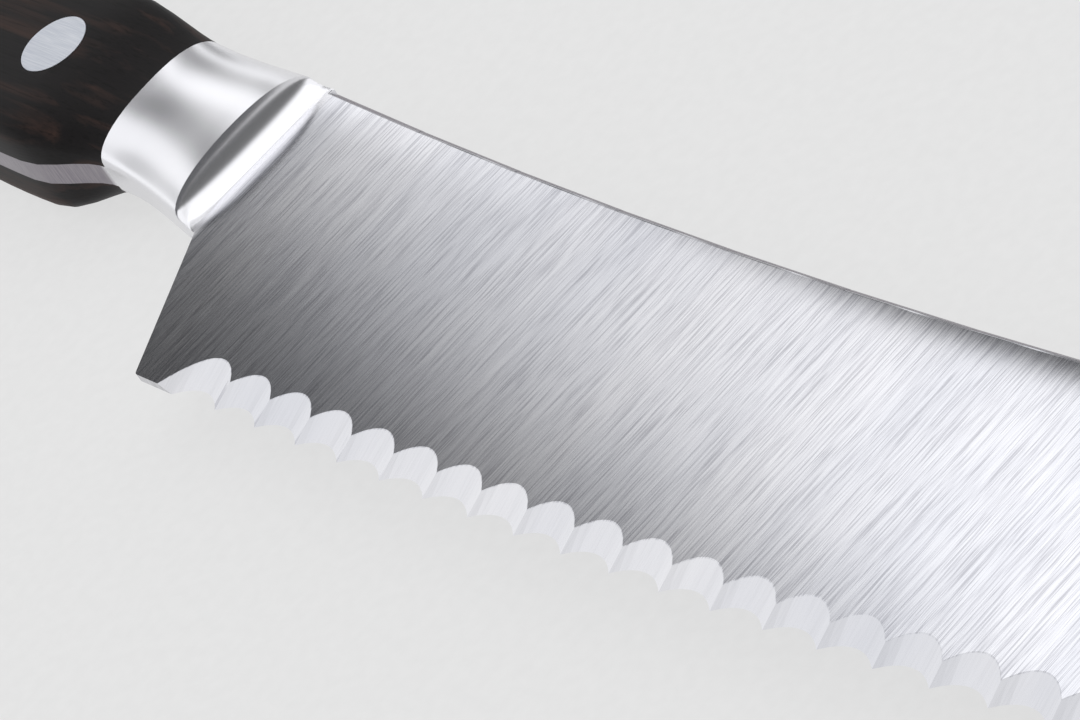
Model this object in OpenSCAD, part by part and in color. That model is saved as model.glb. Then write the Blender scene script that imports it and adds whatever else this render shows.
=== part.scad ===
// Forged bread knife lying on its left side.
// X runs from the butt to the tip, Y from the cutting edge to the spine, Z out of the serrated right side.
// The modules are drawn from a datum at the front of the bolster (x), the edge line at the heel (y)
// and the middle plane of the blade (z), and are moved to the middle of the whole knife at the end.

/* [Blade] */
// Length from the front of the bolster to the tip
blade_len = 230; // [215:1:250]
// Height from the edge line to the lowest point of the spine
blade_h = 33.6; // [32:0.1:36]
// Radius of the upward sweep of the spine
spine_sweep_r = 1150; // [900:10:2000]
// Distance from the bolster to the lowest point of the spine
spine_low_x = 65; // [50:1:80]
// Distance from the tip to where the spine starts to drop
spine_drop = 65; // [55:1:75]
// Thickness of the spine, and of the tang
spine_t = 2.6; // [2.2:0.1:3]
// Thickness behind the cutting edge
edge_t = 1.25; // [1:0.05:1.5]
// Thickness lost from the bolster to the tip
distal_taper = 0.5; // [0.2:0.1:0.7]
// Radius of the rounded corners of the spine
spine_round = 0.9; // [0.4:0.1:1]
// Height of the tip above the edge line
tip_h = 27; // [24:0.5:29]
// Radius of the tip
tip_r = 3; // [2:0.5:4]

/* [Heel] */
// Distance from the bolster to the heel corner
heel_x = 10.2; // [9:0.1:11]
// Radius of the heel corner
heel_r = 0.6; // [0.3:0.1:1]
// Height of the back of the heel above the bolster's lower corner
heel_step = 0.2; // [0.1:0.05:0.6]

/* [Edge] */
// Distance from the bolster to where the edge starts to sweep up
edge_straight = 43; // [35:1:50]
// Radius of the long upward sweep of the edge
edge_sweep_r = 1390; // [1100:10:2000]
// Length of the tighter curve that ends at the tip
belly_len = 55; // [48:1:60]
// Height of the bevel on the left side
bevel_h = 3.4; // [2.5:0.1:4]
// Angle of the bevel on the left side
bevel_angle = 6; // [4:0.5:8]

/* [Serration] */
// Distance from tooth to tooth
tooth_pitch = 6.8; // [6.4:0.1:7.4]
// Distance from the bolster to the middle of the first groove
first_groove_x = 19.6; // [19:0.1:21]
// Radius of each ground groove
groove_r = 10.4; // [9:0.1:12]
// Angle between the ridges and the face of the blade
groove_angle = 19; // [17:0.5:22]
// Height of the tooth points above the edge line
point_h = 0.3; // [0.2:0.05:0.5]
// Plain length left at the tip
plain_tip = 9; // [7:0.5:14]

/* [Bolster] */
// Length of the bolster
bolster_len = 20; // [17:0.5:24]
// Length of the hollow front that blends into the blade
bolster_blend = 3.2; // [2.5:0.1:4]
// Thickness at the front shoulder
bolster_front_t = 9.6; // [8.8:0.1:11]
// Thickness where it meets the scales
neck_t = 10.1; // [9.6:0.1:11]
// Height of its underside at the front
bolster_bottom_y = 15.8; // [15:0.1:16.5]
// Height of its underside at the scales
neck_bottom_y = 18.7; // [18:0.1:20]
// Height of its top at the scales
neck_top_y = 35.6; // [34.5:0.1:37]
// Squareness of the front shoulder
shoulder_power = 2.3; // [2.2:0.1:3]
// Squareness where it meets the scales
neck_power = 2.4; // [2.2:0.1:3.2]
// Part of the thickness lost from the top to the underside where it meets the scales
neck_lean = 0.14; // [0.08:0.01:0.25]
// Depth of the blend's toe in the face of the blade
toe_sink = 0.04; // [0.02:0.01:0.08]

/* [Handle] */
// Length of the scales
scale_len = 118; // [108:1:126]
// Distance from the scales' front to the deepest point of the belly
belly_x = 12; // [11:0.5:16]
// Height of the underside at the belly
belly_y = 16; // [15:0.1:17]
// Height of the top above the belly
crest_y = 36.3; // [35.5:0.1:37.5]
// Thickness at the belly
belly_t = 13.6; // [12:0.1:14.5]
// Distance from the scales' front to the waist
waist_x = 66; // [60:1:72]
// Height of the underside at the waist
waist_y = 18.6; // [17.5:0.1:19.5]
// Height of the top at the waist
waist_top_y = 36; // [35:0.1:37]
// Thickness at the waist
waist_t = 14.4; // [13:0.1:15.5]
// Distance from the butt to the lowest point of the hook
hook_x = 13; // [11:0.5:16]
// Height of the underside at the hook
hook_y = 14.2; // [13:0.1:15.5]
// Height of the top at the butt
butt_top_y = 31.8; // [30:0.1:33]
// Thickness at the butt
butt_t = 13; // [11.5:0.1:14]
// Length of the rounded end of the butt
butt_round = 10; // [8:0.5:12]
// Part of the butt's height that stays flat at its very end
butt_flat = 0.15; // [0.1:0.01:0.25]
// Squareness of the handle's section
section_power = 6.5; // [4:0.1:7]
// Part of the thickness lost from the top to the underside
section_lean = 0.1; // [0:0.01:0.2]

/* [Rivets] */
// Diameter of the rivet heads
head_d = 7.5; // [6.8:0.1:8]
// Diameter of the hollow barrels
barrel_d = 4.8; // [4.4:0.1:5.2]
// Diameter of the solid pins
pin_d = 3; // [2.6:0.1:3.2]
// Distance from the scales' front to the first rivet
first_rivet_x = 15.5; // [14:0.5:20]
// Distance from rivet to rivet
rivet_pitch = 38; // [34:0.5:40]
// Height of the rivets above the middle of the handle
rivet_rise = 0.5; // [0:0.1:2]
// Height of the head seats above the middle plane
seat_z = 3.6; // [3.2:0.1:4]
// Clearance round the barrels and heads
rivet_gap = 0.05; // [0.03:0.01:0.1]
// Clearance between pin and barrel
pin_gap = 0.02; // [0.01:0.01:0.05]
// Clearance at the end of each pin and barrel
end_gap = 0.3; // [0.2:0.1:0.5]

/* [Hidden] */
steel = "#c4c7cc";
rivet_steel = "#c8ccd4";
hardwood = "#2a2527";
tang_z = spine_t/2;
butt_x = -bolster_len - scale_len;
root_end_x = -bolster_len/2; // where the tang's root ends inside the bolster
past = 1; // how far a cutter runs past what it cuts
lap = 0.2; // how far neighbouring cutters lap over each other
round_fn = 64;

// Points of an arc from angle a0 to angle a1 in n steps
function arc(c, r, a0, a1, n) = [for (i = [0:n]) let (a = a0 + (a1 - a0)*i/n) c + r*[cos(a), sin(a)]];

// Smooth curve through knots [x, value], with the slope at each knot taken from its neighbours
function span(k, x, i = 0) = i >= len(k) - 2 || x <= k[i + 1][0] ? i : span(k, x, i + 1);
function slope(k, i) = let (a = max(i - 1, 0), b = min(i + 1, len(k) - 1))
    (k[b][1] - k[a][1])/(k[b][0] - k[a][0]);
function smooth(k, x) = let (
    i = span(k, x),
    h = k[i + 1][0] - k[i][0],
    t = (x - k[i][0])/h,
    rise = k[i + 1][1] - k[i][1]
) k[i][1] + rise*t*t*(3 - 2*t) + h*t*(1 - t)*(slope(k, i)*(1 - t) - slope(k, i + 1)*t);

// Spine: a long hollow arc, then a drop that runs into the tip's own arc
spine_c = [spine_low_x, blade_h + spine_sweep_r];
function spine_y(x) = spine_c[1] - sqrt(spine_sweep_r^2 - (x - spine_low_x)^2);
tip_c = [blade_len - tip_r, tip_h];
drop_x = blade_len - spine_drop;
drop_start = [drop_x, spine_y(drop_x)];
drop_angle = asin((drop_x - spine_low_x)/spine_sweep_r);
drop_up = [-sin(drop_angle), cos(drop_angle)];
drop_r = let (d = tip_c - drop_start) (d*d - tip_r^2)/(-2*(d*drop_up + tip_r));
drop_c = drop_start - drop_r*drop_up;
drop_end = atan2(tip_c[1] - drop_c[1], tip_c[0] - drop_c[0]);

// Edge: straight at the heel, a long sweep, then a belly that runs into the tip's arc
sweep_c = [edge_straight, edge_sweep_r];
belly_angle = asin((blade_len - belly_len - edge_straight)/edge_sweep_r);
belly_start = sweep_c + edge_sweep_r*[sin(belly_angle), -cos(belly_angle)];
belly_up = [-sin(belly_angle), cos(belly_angle)];
belly_r = let (d = tip_c - belly_start) (d*d - tip_r^2)/(2*(d*belly_up - tip_r));
belly_c = belly_start + belly_r*belly_up;
belly_end = atan2(tip_c[1] - belly_c[1], tip_c[0] - belly_c[0]);
sweep_len = edge_sweep_r*belly_angle*PI/180;
belly_arc_len = belly_r*(belly_end + 90 - belly_angle)*PI/180;

// Place [x, y, angle] on the edge line at a distance s from the bolster
function edge_at(s) =
    s < edge_straight ? [s, 0, 0]
    : s < edge_straight + sweep_len ? let (a = (s - edge_straight)/edge_sweep_r*180/PI)
        concat(sweep_c + edge_sweep_r*[sin(a), -cos(a)], [a])
    : let (a = belly_angle + (s - edge_straight - sweep_len)/belly_r*180/PI)
        concat(belly_c + belly_r*[sin(a), -cos(a)], [a]);
edge_len = edge_straight + sweep_len + belly_arc_len;
groove_count = floor((edge_len - plain_tip - first_groove_x)/tooth_pitch) + 1;

// Half thickness of the blade: flat faces that lean to the edge and to the tip
lean_y = (spine_t - edge_t)/2/spine_y(0);
lean_x = distal_taper/2/blade_len;
function half_t(x, y) = edge_t/2 + lean_y*y - lean_x*x;

// Outline of the handle and bolster, from the butt to the blade
butt_mid_x = butt_x + hook_x;
top_knots = [[butt_x, butt_top_y], [-bolster_len - waist_x, waist_top_y],
    [-bolster_len - belly_x, crest_y], [-bolster_len, neck_top_y], [0, spine_y(0)]];
bottom_knots = [[butt_x, hook_y + 1], [butt_mid_x, hook_y], [-bolster_len - waist_x, waist_y],
    [-bolster_len - belly_x, belly_y], [-bolster_len, neck_bottom_y], [0, bolster_bottom_y]];
half_knots = [[butt_x, butt_t/2], [-bolster_len - waist_x, waist_t/2], [-bolster_len - belly_x, belly_t/2],
    [-bolster_len, neck_t/2], [-bolster_blend, bolster_front_t/2], [0, bolster_front_t/2]];
butt_power = 2.6;
function butt_fade(x) = x >= butt_x + butt_round ? 1
    : max(pow(max(1 - pow((butt_x + butt_round - x)/butt_round, butt_power), 0), 1/butt_power), butt_flat);
function mid_y(x) = (smooth(top_knots, x) + smooth(bottom_knots, x))/2;
function half_h(x) = (smooth(top_knots, x) - smooth(bottom_knots, x))/2*butt_fade(x);
function half_w(x) = smooth(half_knots, x)*sqrt(butt_fade(x));
power_knots = [[butt_x, section_power], [-bolster_len - waist_x, section_power],
    [-bolster_len - belly_x, section_power], [-bolster_len, neck_power], [0, shoulder_power]];
lean_knots = [[butt_x, section_lean], [-bolster_len - waist_x, section_lean],
    [-bolster_len - belly_x, section_lean], [-bolster_len, neck_lean], [0, section_lean]];
function power(x) = smooth(power_knots, x);
function lean(x) = smooth(lean_knots, x);

// Right half of the section at x: flat across the tang, then a rounded rectangle that leans in downwards.
// blend goes from 1 on the handle to 0 where the bolster runs out on the blade.
section_steps = 23;
function side_sign(v) = v < 0 ? -1 : 1;
function section_point(x, a, blend) = let (
    p = 2/power(x),
    y = mid_y(x) + half_h(x)*side_sign(sin(a))*pow(abs(sin(a)), p),
    down = (mid_y(x) + half_h(x) - y)/(2*half_h(x)),
    flat = blend < 1 ? half_t(x, y) - toe_sink : tang_z,
    bulge = (half_w(x)*(1 - lean(x)*down) - flat)*pow(max(cos(a), 0), p)
) [x, y, flat + max(bulge, 0)*blend];
function half_section(x, blend = 1) =
    [for (i = [0:section_steps]) section_point(x, 90 - 180*i/section_steps, blend)];
function face_z(x, y) = let (v = abs(y - mid_y(x))/half_h(x), down = (mid_y(x) + half_h(x) - y)/(2*half_h(x)))
    tang_z + (half_w(x)*(1 - lean(x)*down) - tang_z)*pow(1 - pow(v, power(x)), 1/power(x));
function mirrored(points) = [for (i = [len(points) - 1:-1:0]) [points[i][0], points[i][1], -points[i][2]]];

// Closed skin through a row of rings that all have the same number of points
module skin(rings) {
    n = len(rings[0]);
    last = (len(rings) - 1)*n;
    sides = [for (i = [0:len(rings) - 2], j = [0:n - 1]) let (
        a = i*n + j, b = i*n + (j + 1)%n, c = a + n, d = b + n) each [[a, d, b], [a, c, d]]];
    ends = [for (j = [0:floor(n/2) - 2]) let (a = j, b = j + 1, c = n - 2 - j, d = n - 1 - j) each
        [[a, c, d], [a, b, c], [last + a, last + d, last + c], [last + a, last + c, last + b]]];
    polyhedron([for (ring = rings) each ring], concat(ends, sides));
}

// Stations along the handle, closer together where the butt rounds off and at the neck
butt_steps = 9;
handle_steps = 28;
neck_crowding = 1.4;
handle_x = concat(
    [for (i = [0:butt_steps - 1]) butt_x + butt_round*(1 - cos(90*i/butt_steps))],
    [for (i = [0:handle_steps]) butt_x + butt_round
        + (scale_len - butt_round)*(1 - pow(1 - i/handle_steps, neck_crowding))]);

module scale_body() {
    skin([for (x = handle_x) half_section(x)]);
}

// The tang runs to the outside between the scales, and has a smaller root inside the bolster
module tang() {
    top = [for (x = handle_x) [x, mid_y(x) + half_h(x)]];
    bottom = [for (i = [len(handle_x) - 1:-1:0]) let (x = handle_x[i]) [x, mid_y(x) - half_h(x)]];
    root = [[root_end_x, neck_top_y - 2*past], [root_end_x, neck_bottom_y + 2*past]];
    translate([0, 0, -tang_z]) linear_extrude(spine_t) polygon(concat(top, root, bottom));
}

// The bolster is one skin: a block, a rounded shoulder and a hollow front that runs out on the blade
bolster_steps = 9;
blend_steps = 12;
module bolster() {
    block = [for (i = [0:bolster_steps - 1]) let (
        x = -bolster_len + (bolster_len - bolster_blend)*i/bolster_steps) half_section(x)];
    front = [for (i = [0:blend_steps]) let (a = 90*i/blend_steps)
        half_section(-bolster_blend*cos(a), 1 - sin(a))];
    skin([for (half = concat(block, front)) concat(half, mirrored(half))]);
}

// Outline of the blade, clockwise from its hidden root in the bolster
sweep_steps = 10;
belly_steps = 9;
spine_steps = 10;
edge_points = [for (i = [0:sweep_steps + belly_steps]) let (
    s = i <= sweep_steps ? edge_straight + sweep_len*i/sweep_steps
        : edge_straight + sweep_len + belly_arc_len*(i - sweep_steps)/belly_steps,
    e = edge_at(s)) [e[0], e[1]]];
spine_points = concat(
    arc(drop_c, drop_r, drop_end, 90 + drop_angle, belly_steps),
    [for (i = [1:spine_steps]) let (x = drop_x*(1 - i/spine_steps)) [x, spine_y(x)]]);
root_x = -bolster_blend/2;
heel_top_y = bolster_bottom_y + heel_step;
heel_back = atan2(heel_top_y, heel_x);
heel_c = [heel_x + heel_r*tan(45 - heel_back/4), heel_r];
heel_points = arc(heel_c, heel_r, 180 + heel_back/2, 270, 4);
module blade_outline() {
    polygon(concat(heel_points, edge_points, arc(tip_c, tip_r, belly_end, drop_end, 8), spine_points,
        [[root_x, spine_y(0) - past], [root_x, heel_top_y + past], [0, heel_top_y]]));
}

// Everything on the inner side of one flat face of the blade
module face_side() {
    translate([0, 0, edge_t/2]) rotate([atan(lean_y), atan(lean_x), 0])
        translate([-blade_len, -blade_h, -2*spine_t]) cube([3*blade_len, 3*blade_h, 2*spine_t]);
}

// Cutter with one flat face along the straight line from a to b of the outline, on the right side.
// The face passes the inset and height given, and rises inwards at the angle given.
module plane_cut(a, b, inset, z, angle) {
    w = 2*spine_t;
    translate([a[0], a[1], 0]) rotate([0, 0, atan2(b[1] - a[1], b[0] - a[0])])
        translate([-lap, inset, z]) rotate([angle, 0, 0])
        translate([0, -w, 0]) cube([norm(b - a) + 2*lap, 2*w, w]);
}

// The two corners of the spine, rounded by three cuts each
module spine_cuts() {
    line = concat([[blade_len, tip_h]], arc(tip_c, tip_r, 0, drop_end, 3),
        [for (i = [1:len(spine_points) - 1]) spine_points[i]]);
    for (i = [1:len(line) - 2], t = [22.5, 45, 67.5]) let (
        a = line[i], b = line[i + 1], h = half_t((a[0] + b[0])/2, (a[1] + b[1])/2)
    ) plane_cut(a, b, spine_round*(1 - cos(t)), h - spine_round*(1 - sin(t)), 90 - t);
}

// One groove of the serration, ground into the right side at a slant
module groove(s) {
    e = edge_at(s);
    h = half_t(e[0], e[1]);
    bevel_depth = (bevel_h - point_h)*tan(bevel_angle);
    translate([e[0], e[1], 0]) rotate([0, 0, e[2]])
        translate([0, point_h, bevel_depth - h]) rotate([groove_angle, 0, 0])
        translate([0, 0, sqrt(groove_r^2 - tooth_pitch^2/4)])
        rotate([90, 0, 0]) cylinder(h = 3*tooth_pitch, r = groove_r, center = true, $fn = 128);
}

// Narrow bevel on the left side, one straight piece of the edge after the other
module bevel() {
    line = concat([[heel_x - past, 0]], edge_points);
    mirror([0, 0, 1]) for (i = [0:len(line) - 2])
        plane_cut(line[i], line[i + 1], bevel_h, half_t(line[i][0], line[i][1]), bevel_angle);
}

module rivet_place(i) {
    x = -bolster_len - first_rivet_x - i*rivet_pitch;
    translate([x, mid_y(x) + rivet_rise, 0]) children();
}

// Holes for the rivets: a bore for the barrel right through, and a seat for a head at each side
module rivet_holes() {
    for (i = [0:2]) rivet_place(i) {
        cylinder(h = waist_t + 2*past, d = barrel_d + 2*rivet_gap, center = true, $fn = round_fn);
        for (side = [0, 180]) rotate([side, 0, 0])
            translate([0, 0, seat_z]) cylinder(h = waist_t, d = head_d + 2*rivet_gap, $fn = round_fn);
    }
}

// Head of one rivet, ground flush with the scale round it
module rivet_head(i) {
    x = -bolster_len - first_rivet_x - i*rivet_pitch;
    y = mid_y(x) + rivet_rise;
    r = head_d/2;
    tilt_x = atan((face_z(x, y + r) - face_z(x, y - r))/head_d);
    tilt_y = -atan((face_z(x + r, y) - face_z(x - r, y))/head_d);
    difference() {
        rivet_place(i) translate([0, 0, seat_z]) cylinder(h = waist_t, d = head_d, $fn = round_fn);
        translate([x, y, (face_z(x, y + r) + face_z(x, y - r))/2]) rotate([tilt_x, tilt_y, 0])
            translate([-head_d, -head_d, 0]) cube([2*head_d, 2*head_d, 2*waist_t]);
    }
}

module rivet_socket(i) {
    color(rivet_steel) difference() {
        union() {
            rivet_head(i);
            rivet_place(i) translate([0, 0, end_gap - seat_z])
                cylinder(h = 2*seat_z - end_gap, d = barrel_d, $fn = round_fn);
        }
        rivet_place(i) translate([0, 0, -seat_z])
            cylinder(h = 2*seat_z, d = pin_d + 2*pin_gap, $fn = round_fn);
    }
}

module rivet_pin(i) {
    color(rivet_steel) {
        mirror([0, 0, 1]) rivet_head(i);
        rivet_place(i) translate([0, 0, -seat_z])
            cylinder(h = 2*seat_z - end_gap, d = pin_d, $fn = round_fn);
    }
}

module blade() {
    color(steel) difference() {
        union() {
            difference() {
                intersection() {
                    translate([0, 0, -spine_t]) linear_extrude(2*spine_t) blade_outline();
                    face_side();
                    mirror([0, 0, 1]) face_side();
                }
                spine_cuts();
                mirror([0, 0, 1]) spine_cuts();
                for (i = [0:groove_count - 1]) groove(first_groove_x + i*tooth_pitch);
                bevel();
            }
            bolster();
            tang();
        }
        rivet_holes();
    }
}

module right_scale() {
    color(hardwood) difference() {
        scale_body();
        rivet_holes();
    }
}

module left_scale() {
    mirror([0, 0, 1]) right_scale();
}

// The whole knife stands on the middle of its box: length and height in X and Y, the lowest point in Z
module placed() {
    low_z = max([for (x = handle_x, q = half_section(x)) q[2]]);
    translate([-(blade_len + butt_x)/2, -(drop_c[1] + drop_r)/2, low_z]) children();
}

placed() blade();
placed() right_scale();
placed() left_scale();
placed() rivet_socket(0);  // front_rivet_socket
placed() rivet_socket(1);  // middle_rivet_socket
placed() rivet_socket(2);  // rear_rivet_socket
placed() rivet_pin(0);  // front_rivet_pin
placed() rivet_pin(1);  // middle_rivet_pin
placed() rivet_pin(2);  // rear_rivet_pin
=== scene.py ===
"""Bread knife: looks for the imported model, the light it stands in, and the camera of the photograph."""

import math

import bpy
from mathutils import Matrix, Vector

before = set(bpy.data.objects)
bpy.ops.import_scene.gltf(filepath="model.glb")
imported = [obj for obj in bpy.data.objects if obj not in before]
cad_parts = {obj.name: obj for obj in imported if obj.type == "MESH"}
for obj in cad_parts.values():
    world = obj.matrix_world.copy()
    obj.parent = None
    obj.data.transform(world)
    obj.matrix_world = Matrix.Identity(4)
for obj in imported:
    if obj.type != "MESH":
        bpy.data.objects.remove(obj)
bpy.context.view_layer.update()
MM = 0.001

# The pieces, by the names of their CAD nodes. The blade's node is the whole forging, with bolster and tang.
FORGING = ("blade",)
SCALES = ("right_scale", "left_scale")
RIVETS = tuple(
    f"{place}_rivet_{half}" for place in ("front", "middle", "rear") for half in ("socket", "pin")
)

# Where the blade leaves the bolster, where the scales start behind it, and over how much of the knife's
# length the finish changes there: belt lines to both sides of the first place, a duller, darker tang behind
# the second
BOLSTER_FRONT_X = -45.5 * MM
SCALES_FRONT_X = -66 * MM
BELT_START = 0.4 * MM
TANG_START = 1 * MM

# The plane of the blade's right flat, which leans to the edge and to the tip
RIGHT_FLAT_NORMAL = (0.00109, -0.01904, 0.99982)
RIGHT_FLAT_HEIGHT = 8.02 * MM

# The finish of the serration's grooves starts at the first depth under that plane and is full at the second,
# where the steel's normal has more than this share on the z axis. It keeps this share of the belt's lines.
GROOVE_STARTS_DEEP = 0.02 * MM
GROOVE_FULL_DEEP = 0.05 * MM
GROOVE_FACES_UP = 0.3
GROOVE_LINES = 0.12

# The spine's duller finish and painted shade start and are full where the steel's normal has these shares on
# the y axis
SPINE_DULL_SHADE_STARTS = 0.2
SPINE_DULL_SHADE_FULL = 0.45

# The spine's lowest point on the knife, and the radius of its long hollow arc
SPINE_LOW_X = 19 * MM
SPINE_LOW_Y = 14.3 * MM
SPINE_SWEEP_R = 1150 * MM

# The belt rolls off under the spine: over this height, by this depth from the middle of the blade on, and
# by a share of it up to where the growth starts. The power makes it steepest at the spine itself.
ROLL_HEIGHT = 5.5 * MM
ROLL_DEPTH = 0.19 * MM
ROLL_LEAST_SHARE = 0.35
ROLL_GROWS_FROM_X = 0 * MM
ROLL_GROWN_X = 75 * MM
ROLL_POWER = 3.0

# Sizes of the patterns' grains in mm: along the knife, from edge to spine, and through it
BELT_LINES = (0.3, 10, 2)
FINE_BELT_LINES = (0.09, 4, 2)
STEEL_CLOUDS = (14, 40, 20)
WOOD_BANDS = (60, 2, 2)
WOOD_PORES = (9, 0.25, 0.25)
RIVET_SCRATCHES = (3, 0.08, 1)
PAPER_FIBRE = (1.5, 1.5, 1.5)

# Facets of a round surface meet at less than the first angle, and are shaded as one. In front of the bolster
# and under this height, flats and grooves meet at a few degrees in crisp lines, so the second angle holds.
# Corners closer than the last value are one point.
SOFT_DEGREES = 26
GROUND_DEGREES = 3.5
GROUND_TOP_Y = 8 * MM
WELD = 0.001 * MM

# The camera, from the perspective of the serration and the blade's edges in the photograph
CAMERA_MM = (422.84, -152.03, 284.81)
VIEW_AZIMUTH = -19.91
VIEW_ELEVATION = 32.27
VIEW_ROLL = -34.56
LENS_MM = 200.0
SENSOR_MM = 36.0
NEAREST_SEEN = 10 * MM

# The floor reaches this far from the knife on each side, in metres
FLOOR_REACH = 3.0

# The room is a white light tent with an opening in its far wall. Each darker or brighter part has an azimuth
# and elevation, the angles from there at which it starts to fade and is gone, and a brightness.
# A later part covers an earlier one.
ROOM_BRIGHTNESS = 1.15
ROOM_COLOUR = (0.99, 0.992, 1, 1)
ROOM_PARTS = (
    (12, 16, 28, 54, 0.16),  # the open side that the camera looks in through
    (157, 42, 4.5, 9.5, 1.7),  # the lamp behind the far wall, which the front of the blade mirrors
    (162, 55, 4, 12, 0.45),  # the wall's frame over that lamp
    (197, 21, 6.5, 13, 0.68),  # the grey wall to the left, which the bolster's lower side mirrors
    (168.7, 30, 3.7, 7.2, 0.08),  # the opening that the heel mirrors, low part
    (168.2, 37, 3.7, 7.7, 0.1),  # the opening, high part, over the teeth
    (147, 29.5, 4, 10, 0.2),  # the post to the right of the lamp, along the spine
    (150.5, 20, 1.5, 6, 0.3),  # the post's foot
    (158, 25, 2, 6, 1.55),  # the gap between the opening and the post, which the bolster's side mirrors
    (138.5, 9, 4, 10, 0.25),  # the low wall behind the spine
    (20, 84, 18, 40, 1.0),  # the roof, a little darker than the walls
    (118, 67, 12, 24, 1.4),  # the skylight over the far wall, in the bright stripe before the bolster
)

# The soft box in the roof: its place, the point it faces, and its width and length in mm
OVERHEAD_BOX_MM = (-80, 400, 900)
OVERHEAD_BOX_AIM_MM = (-80, 400, 0)
OVERHEAD_BOX_SIZE_MM = (1400, 1000)
OVERHEAD_BOX_BRIGHTNESS = 0.3


def srgb(hex_colour):
    """Linear colour from an sRGB hex value."""
    parts = [int(hex_colour[i : i + 2], 16) / 255 for i in (1, 3, 5)]
    return (*(c / 12.92 if c <= 0.04045 else ((c + 0.055) / 1.055) ** 2.4 for c in parts), 1.0)


def add_node(tree, kind, inputs=None, stops=None, **settings):
    """Adds a node. inputs maps a socket's name or number to a value, or to the socket that feeds it.

    stops are the (place, colour) pairs of a colour ramp.
    """
    node = tree.nodes.new(kind)
    for name, value in settings.items():
        setattr(node, name, value)
    for name, value in (inputs or {}).items():
        if isinstance(value, bpy.types.NodeSocket):
            tree.links.new(value, node.inputs[name])
        else:
            node.inputs[name].default_value = value
    if stops:
        elements = node.color_ramp.elements
        while len(elements) < len(stops):
            elements.new(0.5)
        for element, (place, colour) in zip(elements, stops):
            element.position = place
            element.color = colour
    return node


def material(name):
    """An empty material, its node tree and its shader."""
    made = bpy.data.materials.new(name)
    made.use_nodes = True
    tree = made.node_tree
    return made, tree, tree.nodes["Principled BSDF"]


def real_place(tree, grain_mm):
    """Place on the knife, counted along each axis in grains of a real size in mm."""
    place = add_node(tree, "ShaderNodeTexCoord").outputs["Object"]
    per_metre = [1 / (side * MM) for side in grain_mm]
    return add_node(tree, "ShaderNodeMapping", {"Vector": place, "Scale": per_metre}).outputs["Vector"]


def forging_zones(tree):
    """Masks of the forging's finishes: ground on the belt, marked by belt lines, and a duller, darker tang
    with a duller spine carrying painted shade.
    """
    here = add_node(tree, "ShaderNodeTexCoord")
    place = here.outputs["Object"]
    along = add_node(tree, "ShaderNodeSeparateXYZ", {"Vector": place}).outputs["X"]
    facing = add_node(tree, "ShaderNodeSeparateXYZ", {"Vector": here.outputs["Normal"]})
    belted = add_node(
        tree,
        "ShaderNodeMapRange",
        {"Value": along, "From Min": BOLSTER_FRONT_X - BELT_START, "From Max": BOLSTER_FRONT_X + BELT_START},
    ).outputs["Result"]

    # The grooves of the serration are ground finer, and show little of the lines
    height = add_node(
        tree, "ShaderNodeVectorMath", {0: place, 1: RIGHT_FLAT_NORMAL}, operation="DOT_PRODUCT"
    ).outputs["Value"]
    under = add_node(
        tree,
        "ShaderNodeMapRange",
        {
            "Value": height,
            "From Min": RIGHT_FLAT_HEIGHT - GROOVE_STARTS_DEEP,
            "From Max": RIGHT_FLAT_HEIGHT - GROOVE_FULL_DEEP,
        },
    ).outputs["Result"]
    right_side = add_node(
        tree, "ShaderNodeMath", {0: facing.outputs["Z"], 1: GROOVE_FACES_UP}, operation="GREATER_THAN"
    ).outputs[0]
    grooved = add_node(tree, "ShaderNodeMath", {0: under, 1: right_side}, operation="MULTIPLY").outputs[0]
    share = add_node(
        tree, "ShaderNodeMapRange", {"Value": grooved, "To Min": 1.0, "To Max": GROOVE_LINES}
    ).outputs["Result"]
    lined = add_node(tree, "ShaderNodeMath", {0: share, 1: belted}, operation="MULTIPLY").outputs[0]

    # The tang's edges are duller and darker. The rounded back of the blade, where its normal turns to the
    # spine, is duller and carries painted shade
    tang = add_node(
        tree,
        "ShaderNodeMapRange",
        {"Value": along, "From Min": SCALES_FRONT_X, "From Max": SCALES_FRONT_X - TANG_START},
    ).outputs["Result"]
    up = add_node(
        tree,
        "ShaderNodeMapRange",
        {"Value": facing.outputs["Y"], "From Min": SPINE_DULL_SHADE_STARTS, "From Max": SPINE_DULL_SHADE_FULL},
    ).outputs["Result"]
    spine = add_node(tree, "ShaderNodeMath", {0: up, 1: belted}, operation="MULTIPLY").outputs[0]
    dull_tang_and_shaded_spine = add_node(tree, "ShaderNodeMath", {0: tang, 1: spine}, operation="MAXIMUM").outputs[0]
    return belted, lined, dull_tang_and_shaded_spine


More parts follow.
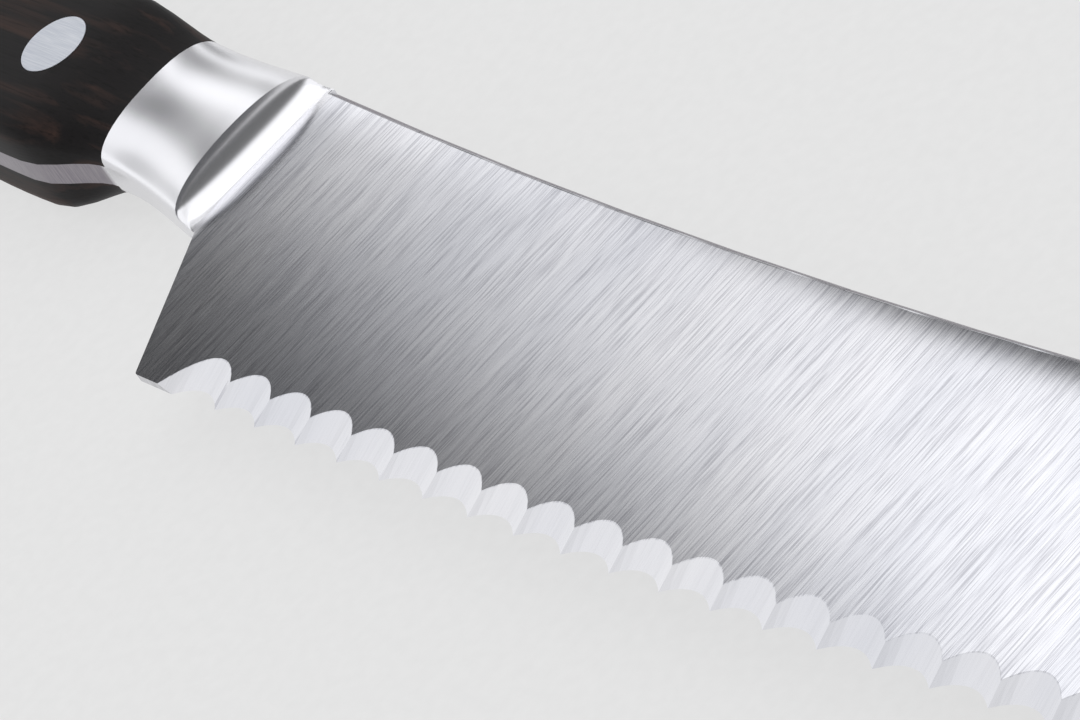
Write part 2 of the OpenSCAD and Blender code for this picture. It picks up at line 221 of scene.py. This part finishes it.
def rolled_under_spine(tree, belted):
    """Normal of the flats, which tips just under the spine's long hollow arc, where the belt rolls off."""
    place = add_node(tree, "ShaderNodeTexCoord").outputs["Object"]
    split = add_node(tree, "ShaderNodeSeparateXYZ", {"Vector": place})
    x = split.outputs["X"]
    from_low = add_node(tree, "ShaderNodeMath", {0: x, 1: SPINE_LOW_X}, operation="SUBTRACT").outputs[0]
    squared = add_node(tree, "ShaderNodeMath", {0: from_low, 1: from_low}, operation="MULTIPLY").outputs[0]
    height = add_node(
        tree,
        "ShaderNodeMath",
        {0: squared, 1: -0.5 / SPINE_SWEEP_R, 2: split.outputs["Y"]},
        operation="MULTIPLY_ADD",
    ).outputs[0]
    near_spine = add_node(
        tree,
        "ShaderNodeMapRange",
        {"Value": height, "From Min": SPINE_LOW_Y - ROLL_HEIGHT, "From Max": SPINE_LOW_Y},
    ).outputs["Result"]
    roll = add_node(tree, "ShaderNodeMath", {0: near_spine, 1: ROLL_POWER}, operation="POWER").outputs[0]
    growth = add_node(
        tree,
        "ShaderNodeMapRange",
        {
            "Value": x,
            "From Min": ROLL_GROWS_FROM_X,
            "From Max": ROLL_GROWN_X,
            "To Min": ROLL_LEAST_SHARE,
            "To Max": 1.0,
        },
    ).outputs["Result"]
    strength = add_node(tree, "ShaderNodeMath", {0: growth, 1: belted}, operation="MULTIPLY").outputs[0]
    rolled = add_node(
        tree,
        "ShaderNodeBump",
        {"Height": roll, "Strength": strength, "Distance": ROLL_DEPTH},
        invert=True,
    )
    return rolled.outputs["Normal"]


def forged_blade_steel():
    """Forged stainless steel. Its flats are ground on a belt from spine to edge, which leaves fine lines that
    break up what they mirror, and whose bottoms carry painted shade. The bolster is polished, without lines
    and brighter. The tang's edges are duller and darker, and the spine's rounded back is duller with painted
    shade.
    """
    made, tree, shader = material("satin_ground_stainless_steel")
    belted, lined, dull_tang_and_shaded_spine = forging_zones(tree)

    # Belt lines about 0.3 mm apart and 10 mm long, and finer ones 0.09 mm apart and 4 mm long, drawn coarser
    # than the real 0.03 mm so that they show
    coarse = add_node(
        tree,
        "ShaderNodeTexNoise",
        {"Vector": real_place(tree, BELT_LINES), "Scale": 1.0, "Detail": 2.0, "Roughness": 0.6},
    ).outputs["Fac"]
    fine = add_node(
        tree,
        "ShaderNodeTexNoise",
        {"Vector": real_place(tree, FINE_BELT_LINES), "Scale": 1.0, "Detail": 2.0, "Roughness": 0.6},
    ).outputs["Fac"]
    lines = add_node(
        tree, "ShaderNodeMix", {"Factor": 0.5, "A": coarse, "B": fine}, data_type="FLOAT"
    ).outputs["Result"]
    # Faint clouds 14 mm wide and 40 mm high, as the steel was pressed more or less firmly when it was worked
    clouds = add_node(
        tree,
        "ShaderNodeTexNoise",
        {"Vector": real_place(tree, STEEL_CLOUDS), "Scale": 1.0, "Detail": 2.0},
    ).outputs["Fac"]

    ground_tint = add_node(
        tree,
        "ShaderNodeValToRGB",
        {"Fac": clouds},
        stops=[(0.3, srgb("#cfd0d5")), (0.7, srgb("#d9d9dc"))],
    ).outputs["Color"]
    polished_tint = add_node(
        tree,
        "ShaderNodeValToRGB",
        {"Fac": clouds},
        stops=[(0.3, srgb("#e4e4e8")), (0.7, srgb("#ececef"))],
    ).outputs["Color"]
    # Darker colour of the tang's edges, and painted shade on the spine's rounded back
    dark_tang_and_spine_shade_tint = add_node(
        tree,
        "ShaderNodeValToRGB",
        {"Fac": fine},
        stops=[(0.38, srgb("#87828a")), (0.62, srgb("#9a959a"))],
    ).outputs["Color"]
    # Painted shade in the belt lines: the bottom of a line keeps 62% of the steel's light
    painted_line_shade = add_node(
        tree,
        "ShaderNodeValToRGB",
        {"Fac": lines},
        stops=[(0.4, (0.62, 0.62, 0.64, 1)), (0.5, (0.9, 0.9, 0.91, 1)), (0.6, (1, 1, 1, 1))],
    ).outputs["Color"]
    tint = add_node(
        tree, "ShaderNodeMix", {"Factor": belted, "A": polished_tint, "B": ground_tint}, data_type="RGBA"
    ).outputs["Result"]
    # The painted line shade darkens the steel's tint where the lines are
    line_shaded_tint = add_node(
        tree,
        "ShaderNodeMix",
        {"Factor": lined, "A": tint, "B": painted_line_shade},
        data_type="RGBA",
        blend_type="MULTIPLY",
    ).outputs["Result"]
    # The tang's darker colour and the spine's painted shade replace the steel's colour there
    colour = add_node(
        tree, "ShaderNodeMix", {"Factor": dull_tang_and_shaded_spine, "A": line_shaded_tint, "B": dark_tang_and_spine_shade_tint}, data_type="RGBA"
    ).outputs["Result"]
    tree.links.new(colour, shader.inputs["Base Color"])

    ground_rough = add_node(
        tree, "ShaderNodeMapRange", {"Value": fine, "To Min": 0.08, "To Max": 0.14}
    ).outputs["Result"]
    polished_rough = add_node(
        tree, "ShaderNodeMapRange", {"Value": clouds, "To Min": 0.2, "To Max": 0.28}
    ).outputs["Result"]
    machined_rough = add_node(
        tree, "ShaderNodeMix", {"Factor": belted, "A": polished_rough, "B": ground_rough}, data_type="FLOAT"
    ).outputs["Result"]
    rough = add_node(
        tree, "ShaderNodeMix", {"Factor": dull_tang_and_shaded_spine, "A": machined_rough, "B": 0.38}, data_type="FLOAT"
    ).outputs["Result"]
    tree.links.new(rough, shader.inputs["Roughness"])

    # The lines are about 0.01 mm deep
    line_strength = add_node(tree, "ShaderNodeMath", {0: lined, 1: 0.4}, operation="MULTIPLY").outputs[0]
    bump = add_node(
        tree,
        "ShaderNodeBump",
        {
            "Height": lines,
            "Strength": line_strength,
            "Distance": 0.01 * MM,
            "Normal": rolled_under_spine(tree, belted),
        },
    )
    tree.links.new(bump.outputs["Normal"], shader.inputs["Normal"])
    shader.inputs["Metallic"].default_value = 1.0
    return made


def dark_hardwood():
    """Stained and oiled hardwood: near black, with faint brown growth bands, fine open pores along the
    handle, and a soft, uneven sheen.
    """
    made, tree, shader = material("dark_stained_hardwood")
    # Growth bands about 2 mm apart, bent a little along 60 mm
    bands = add_node(
        tree,
        "ShaderNodeTexNoise",
        {"Vector": real_place(tree, WOOD_BANDS), "Scale": 1.0, "Detail": 3.0, "Distortion": 0.4},
    ).outputs["Fac"]
    # Pores 0.25 mm wide and 9 mm long, which lie deeper and darker than the wood around them
    pores = add_node(
        tree,
        "ShaderNodeTexNoise",
        {"Vector": real_place(tree, WOOD_PORES), "Scale": 1.0, "Detail": 2.0},
    ).outputs["Fac"]
    base = add_node(
        tree,
        "ShaderNodeValToRGB",
        {"Fac": bands},
        stops=[(0.3, srgb("#0a0809")), (0.52, srgb("#110e0f")), (0.72, srgb("#33241f"))],
    ).outputs["Color"]
    pore_tint = add_node(
        tree,
        "ShaderNodeValToRGB",
        {"Fac": pores},
        stops=[(0.32, (0.45, 0.42, 0.42, 1)), (0.45, (1, 1, 1, 1))],
    ).outputs["Color"]
    colour = add_node(
        tree,
        "ShaderNodeMix",
        {"Factor": 1.0, "A": base, "B": pore_tint},
        data_type="RGBA",
        blend_type="MULTIPLY",
    ).outputs["Result"]
    tree.links.new(colour, shader.inputs["Base Color"])
    rough = add_node(tree, "ShaderNodeMapRange", {"Value": bands, "To Min": 0.4, "To Max": 0.55})
    tree.links.new(rough.outputs["Result"], shader.inputs["Roughness"])
    bump = add_node(tree, "ShaderNodeBump", {"Height": pores, "Strength": 0.3, "Distance": 0.05 * MM})
    tree.links.new(bump.outputs["Normal"], shader.inputs["Normal"])
    shader.inputs["IOR"].default_value = 1.5
    shader.inputs["Specular IOR Level"].default_value = 0.09
    return made


def satin_rivet_steel():
    """Stainless steel sanded flush with the wood: pale and a little blue, with short scratches along the
    handle that blur what it mirrors.
    """
    made, tree, shader = material("satin_sanded_rivet_steel")
    # Sanding scratches 0.08 mm apart and 3 mm long, drawn coarser than real ones so that they show
    scratches = add_node(
        tree,
        "ShaderNodeTexNoise",
        {"Vector": real_place(tree, RIVET_SCRATCHES), "Scale": 1.0, "Detail": 2.0},
    ).outputs["Fac"]
    colour = add_node(
        tree,
        "ShaderNodeValToRGB",
        {"Fac": scratches},
        stops=[(0.3, srgb("#c3c8d2")), (0.7, srgb("#d9dce2"))],
    ).outputs["Color"]
    tree.links.new(colour, shader.inputs["Base Color"])
    rough = add_node(tree, "ShaderNodeMapRange", {"Value": scratches, "To Min": 0.3, "To Max": 0.42})
    tree.links.new(rough.outputs["Result"], shader.inputs["Roughness"])
    shader.inputs["Metallic"].default_value = 1.0
    return made


def studio_paper():
    """Matt white studio paper: no gloss, and a barely visible fibre."""
    made, tree, shader = material("matt_studio_paper")
    fibre = add_node(
        tree,
        "ShaderNodeTexNoise",
        {"Vector": real_place(tree, PAPER_FIBRE), "Scale": 1.0, "Detail": 2.0},
    ).outputs["Fac"]
    colour = add_node(
        tree,
        "ShaderNodeValToRGB",
        {"Fac": fibre},
        stops=[(0.3, srgb("#585858")), (0.7, srgb("#595959"))],
    ).outputs["Color"]
    tree.links.new(colour, shader.inputs["Base Color"])
    shader.inputs["Roughness"].default_value = 0.9
    shader.inputs["Specular IOR Level"].default_value = 0.1
    # The paper is lit from below and glows through itself, which makes it pale and keeps its shadows faint
    tree.links.new(colour, shader.inputs["Emission Color"])
    shader.inputs["Emission Strength"].default_value = 6.8
    return made


def smooth_shading():
    """Modifier group that welds a CAD mesh and shades it smooth, apart from its sharp edges."""
    tree = bpy.data.node_groups.new("smooth_shading", "GeometryNodeTree")
    tree.interface.new_socket("Geometry", in_out="INPUT", socket_type="NodeSocketGeometry")
    tree.interface.new_socket("Geometry", in_out="OUTPUT", socket_type="NodeSocketGeometry")
    mesh = add_node(tree, "NodeGroupInput").outputs["Geometry"]
    welded = add_node(
        tree, "GeometryNodeMergeByDistance", {"Geometry": mesh, "Distance": WELD}
    ).outputs["Geometry"]
    bare = add_node(
        tree, "GeometryNodeRemoveAttribute", {"Geometry": welded, "Name": "custom_normal"}
    ).outputs["Geometry"]
    smooth = add_node(
        tree, "GeometryNodeSetShadeSmooth", {"Geometry": bare, "Shade Smooth": True}, domain="FACE"
    ).outputs["Geometry"]

    # An edge stays smooth under an angle, which is smaller on the ground part of the blade
    here = add_node(tree, "GeometryNodeInputPosition").outputs[0]
    place = add_node(tree, "ShaderNodeSeparateXYZ", {"Vector": here})
    in_front = add_node(
        tree, "ShaderNodeMath", {0: place.outputs["X"], 1: BOLSTER_FRONT_X}, operation="GREATER_THAN"
    ).outputs[0]
    below = add_node(
        tree, "ShaderNodeMath", {0: place.outputs["Y"], 1: GROUND_TOP_Y}, operation="LESS_THAN"
    ).outputs[0]
    ground = add_node(tree, "ShaderNodeMath", {0: in_front, 1: below}, operation="MULTIPLY").outputs[0]
    limit = add_node(
        tree,
        "ShaderNodeMapRange",
        {"Value": ground, "To Min": math.radians(SOFT_DEGREES), "To Max": math.radians(GROUND_DEGREES)},
    ).outputs["Result"]
    angle = add_node(tree, "GeometryNodeInputMeshEdgeAngle").outputs["Unsigned Angle"]
    soft = add_node(
        tree, "FunctionNodeCompare", {0: angle, 1: limit}, data_type="FLOAT", operation="LESS_THAN"
    ).outputs["Result"]
    edges = add_node(
        tree, "GeometryNodeSetShadeSmooth", {"Geometry": smooth, "Shade Smooth": soft}, domain="EDGE"
    ).outputs["Geometry"]
    add_node(tree, "NodeGroupOutput", {"Geometry": edges})
    return tree


def dress(node_names, finish, shading):
    """Gives CAD nodes their finish, smooth shading, and normals that keep large faces flat."""
    for name in node_names:
        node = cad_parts[name]
        node.data.materials.clear()
        node.data.materials.append(finish)
        node.modifiers.new("smooth_shading", "NODES").node_group = shading
        flat = node.modifiers.new("flat_large_faces", "WEIGHTED_NORMAL")
        flat.keep_sharp = True


def studio_floor(finish):
    """Wide pale floor under the knife."""
    corners = [(x * FLOOR_REACH, y * FLOOR_REACH, 0) for x, y in ((-1, -1), (1, -1), (1, 1), (-1, 1))]
    mesh = bpy.data.meshes.new("studio_floor")
    mesh.from_pydata(corners, [], [(0, 1, 2, 3)])
    floor = bpy.data.objects.new("studio_floor", mesh)
    bpy.context.scene.collection.objects.link(floor)
    floor.data.materials.append(finish)


def direction(azimuth, elevation):
    """Unit vector from two angles in degrees."""
    a = math.radians(azimuth)
    e = math.radians(elevation)
    return (math.cos(a) * math.cos(e), math.sin(a) * math.cos(e), math.sin(e))


def light_tent():
    """White light tent with a few darker and brighter parts."""
    world = bpy.data.worlds.new("light_tent")
    world.use_nodes = True
    tree = world.node_tree
    looking = add_node(tree, "ShaderNodeTexCoord").outputs["Generated"]
    brightness = ROOM_BRIGHTNESS
    for azimuth, elevation, inner, outer, part_brightness in ROOM_PARTS:
        near = add_node(
            tree,
            "ShaderNodeVectorMath",
            {0: looking, 1: direction(azimuth, elevation)},
            operation="DOT_PRODUCT",
        ).outputs["Value"]
        share = add_node(
            tree,
            "ShaderNodeMapRange",
            {
                "Value": near,
                "From Min": math.cos(math.radians(outer)),
                "From Max": math.cos(math.radians(inner)),
            },
            interpolation_type="SMOOTHSTEP",
        ).outputs["Result"]
        brightness = add_node(
            tree,
            "ShaderNodeMix",
            {"Factor": share, "A": brightness, "B": part_brightness},
            data_type="FLOAT",
        ).outputs["Result"]
    background = tree.nodes["Background"]
    tree.links.new(brightness, background.inputs["Strength"])
    background.inputs["Color"].default_value = ROOM_COLOUR
    bpy.context.scene.world = world


def overhead_box():
    """Flat area light in the tent's roof. Its power follows from its size and its brightness."""
    data = bpy.data.lights.new("overhead_box", "AREA")
    data.shape = "RECTANGLE"
    data.size, data.size_y = (side * MM for side in OVERHEAD_BOX_SIZE_MM)
    data.energy = OVERHEAD_BOX_BRIGHTNESS * math.pi * data.size * data.size_y
    lamp = bpy.data.objects.new("overhead_box", data)
    away = Vector(OVERHEAD_BOX_MM) - Vector(OVERHEAD_BOX_AIM_MM)
    lamp.location = Vector(OVERHEAD_BOX_MM) * MM
    lamp.rotation_euler = away.to_track_quat("Z", "Y").to_euler()
    bpy.context.scene.collection.objects.link(lamp)


def photo_camera():
    """Camera at the photograph's place, turned by its azimuth, elevation and roll."""
    data = bpy.data.cameras.new("photo_camera")
    data.lens = LENS_MM
    data.sensor_width = SENSOR_MM
    data.clip_start = NEAREST_SEEN
    camera = bpy.data.objects.new("photo_camera", data)
    turn = (
        Matrix.Rotation(math.radians(90 + VIEW_AZIMUTH), 4, "Z")
        @ Matrix.Rotation(math.radians(90 - VIEW_ELEVATION), 4, "X")
        @ Matrix.Rotation(math.radians(VIEW_ROLL), 4, "Z")
    )
    camera.matrix_world = Matrix.Translation(Vector(CAMERA_MM) * MM) @ turn
    bpy.context.scene.collection.objects.link(camera)
    bpy.context.scene.camera = camera


shading = smooth_shading()
dress(FORGING, forged_blade_steel(), shading)
dress(SCALES, dark_hardwood(), shading)
dress(RIVETS, satin_rivet_steel(), shading)
studio_floor(studio_paper())
light_tent()
overhead_box()
photo_camera()
bpy.context.scene.view_settings.view_transform = "Standard"
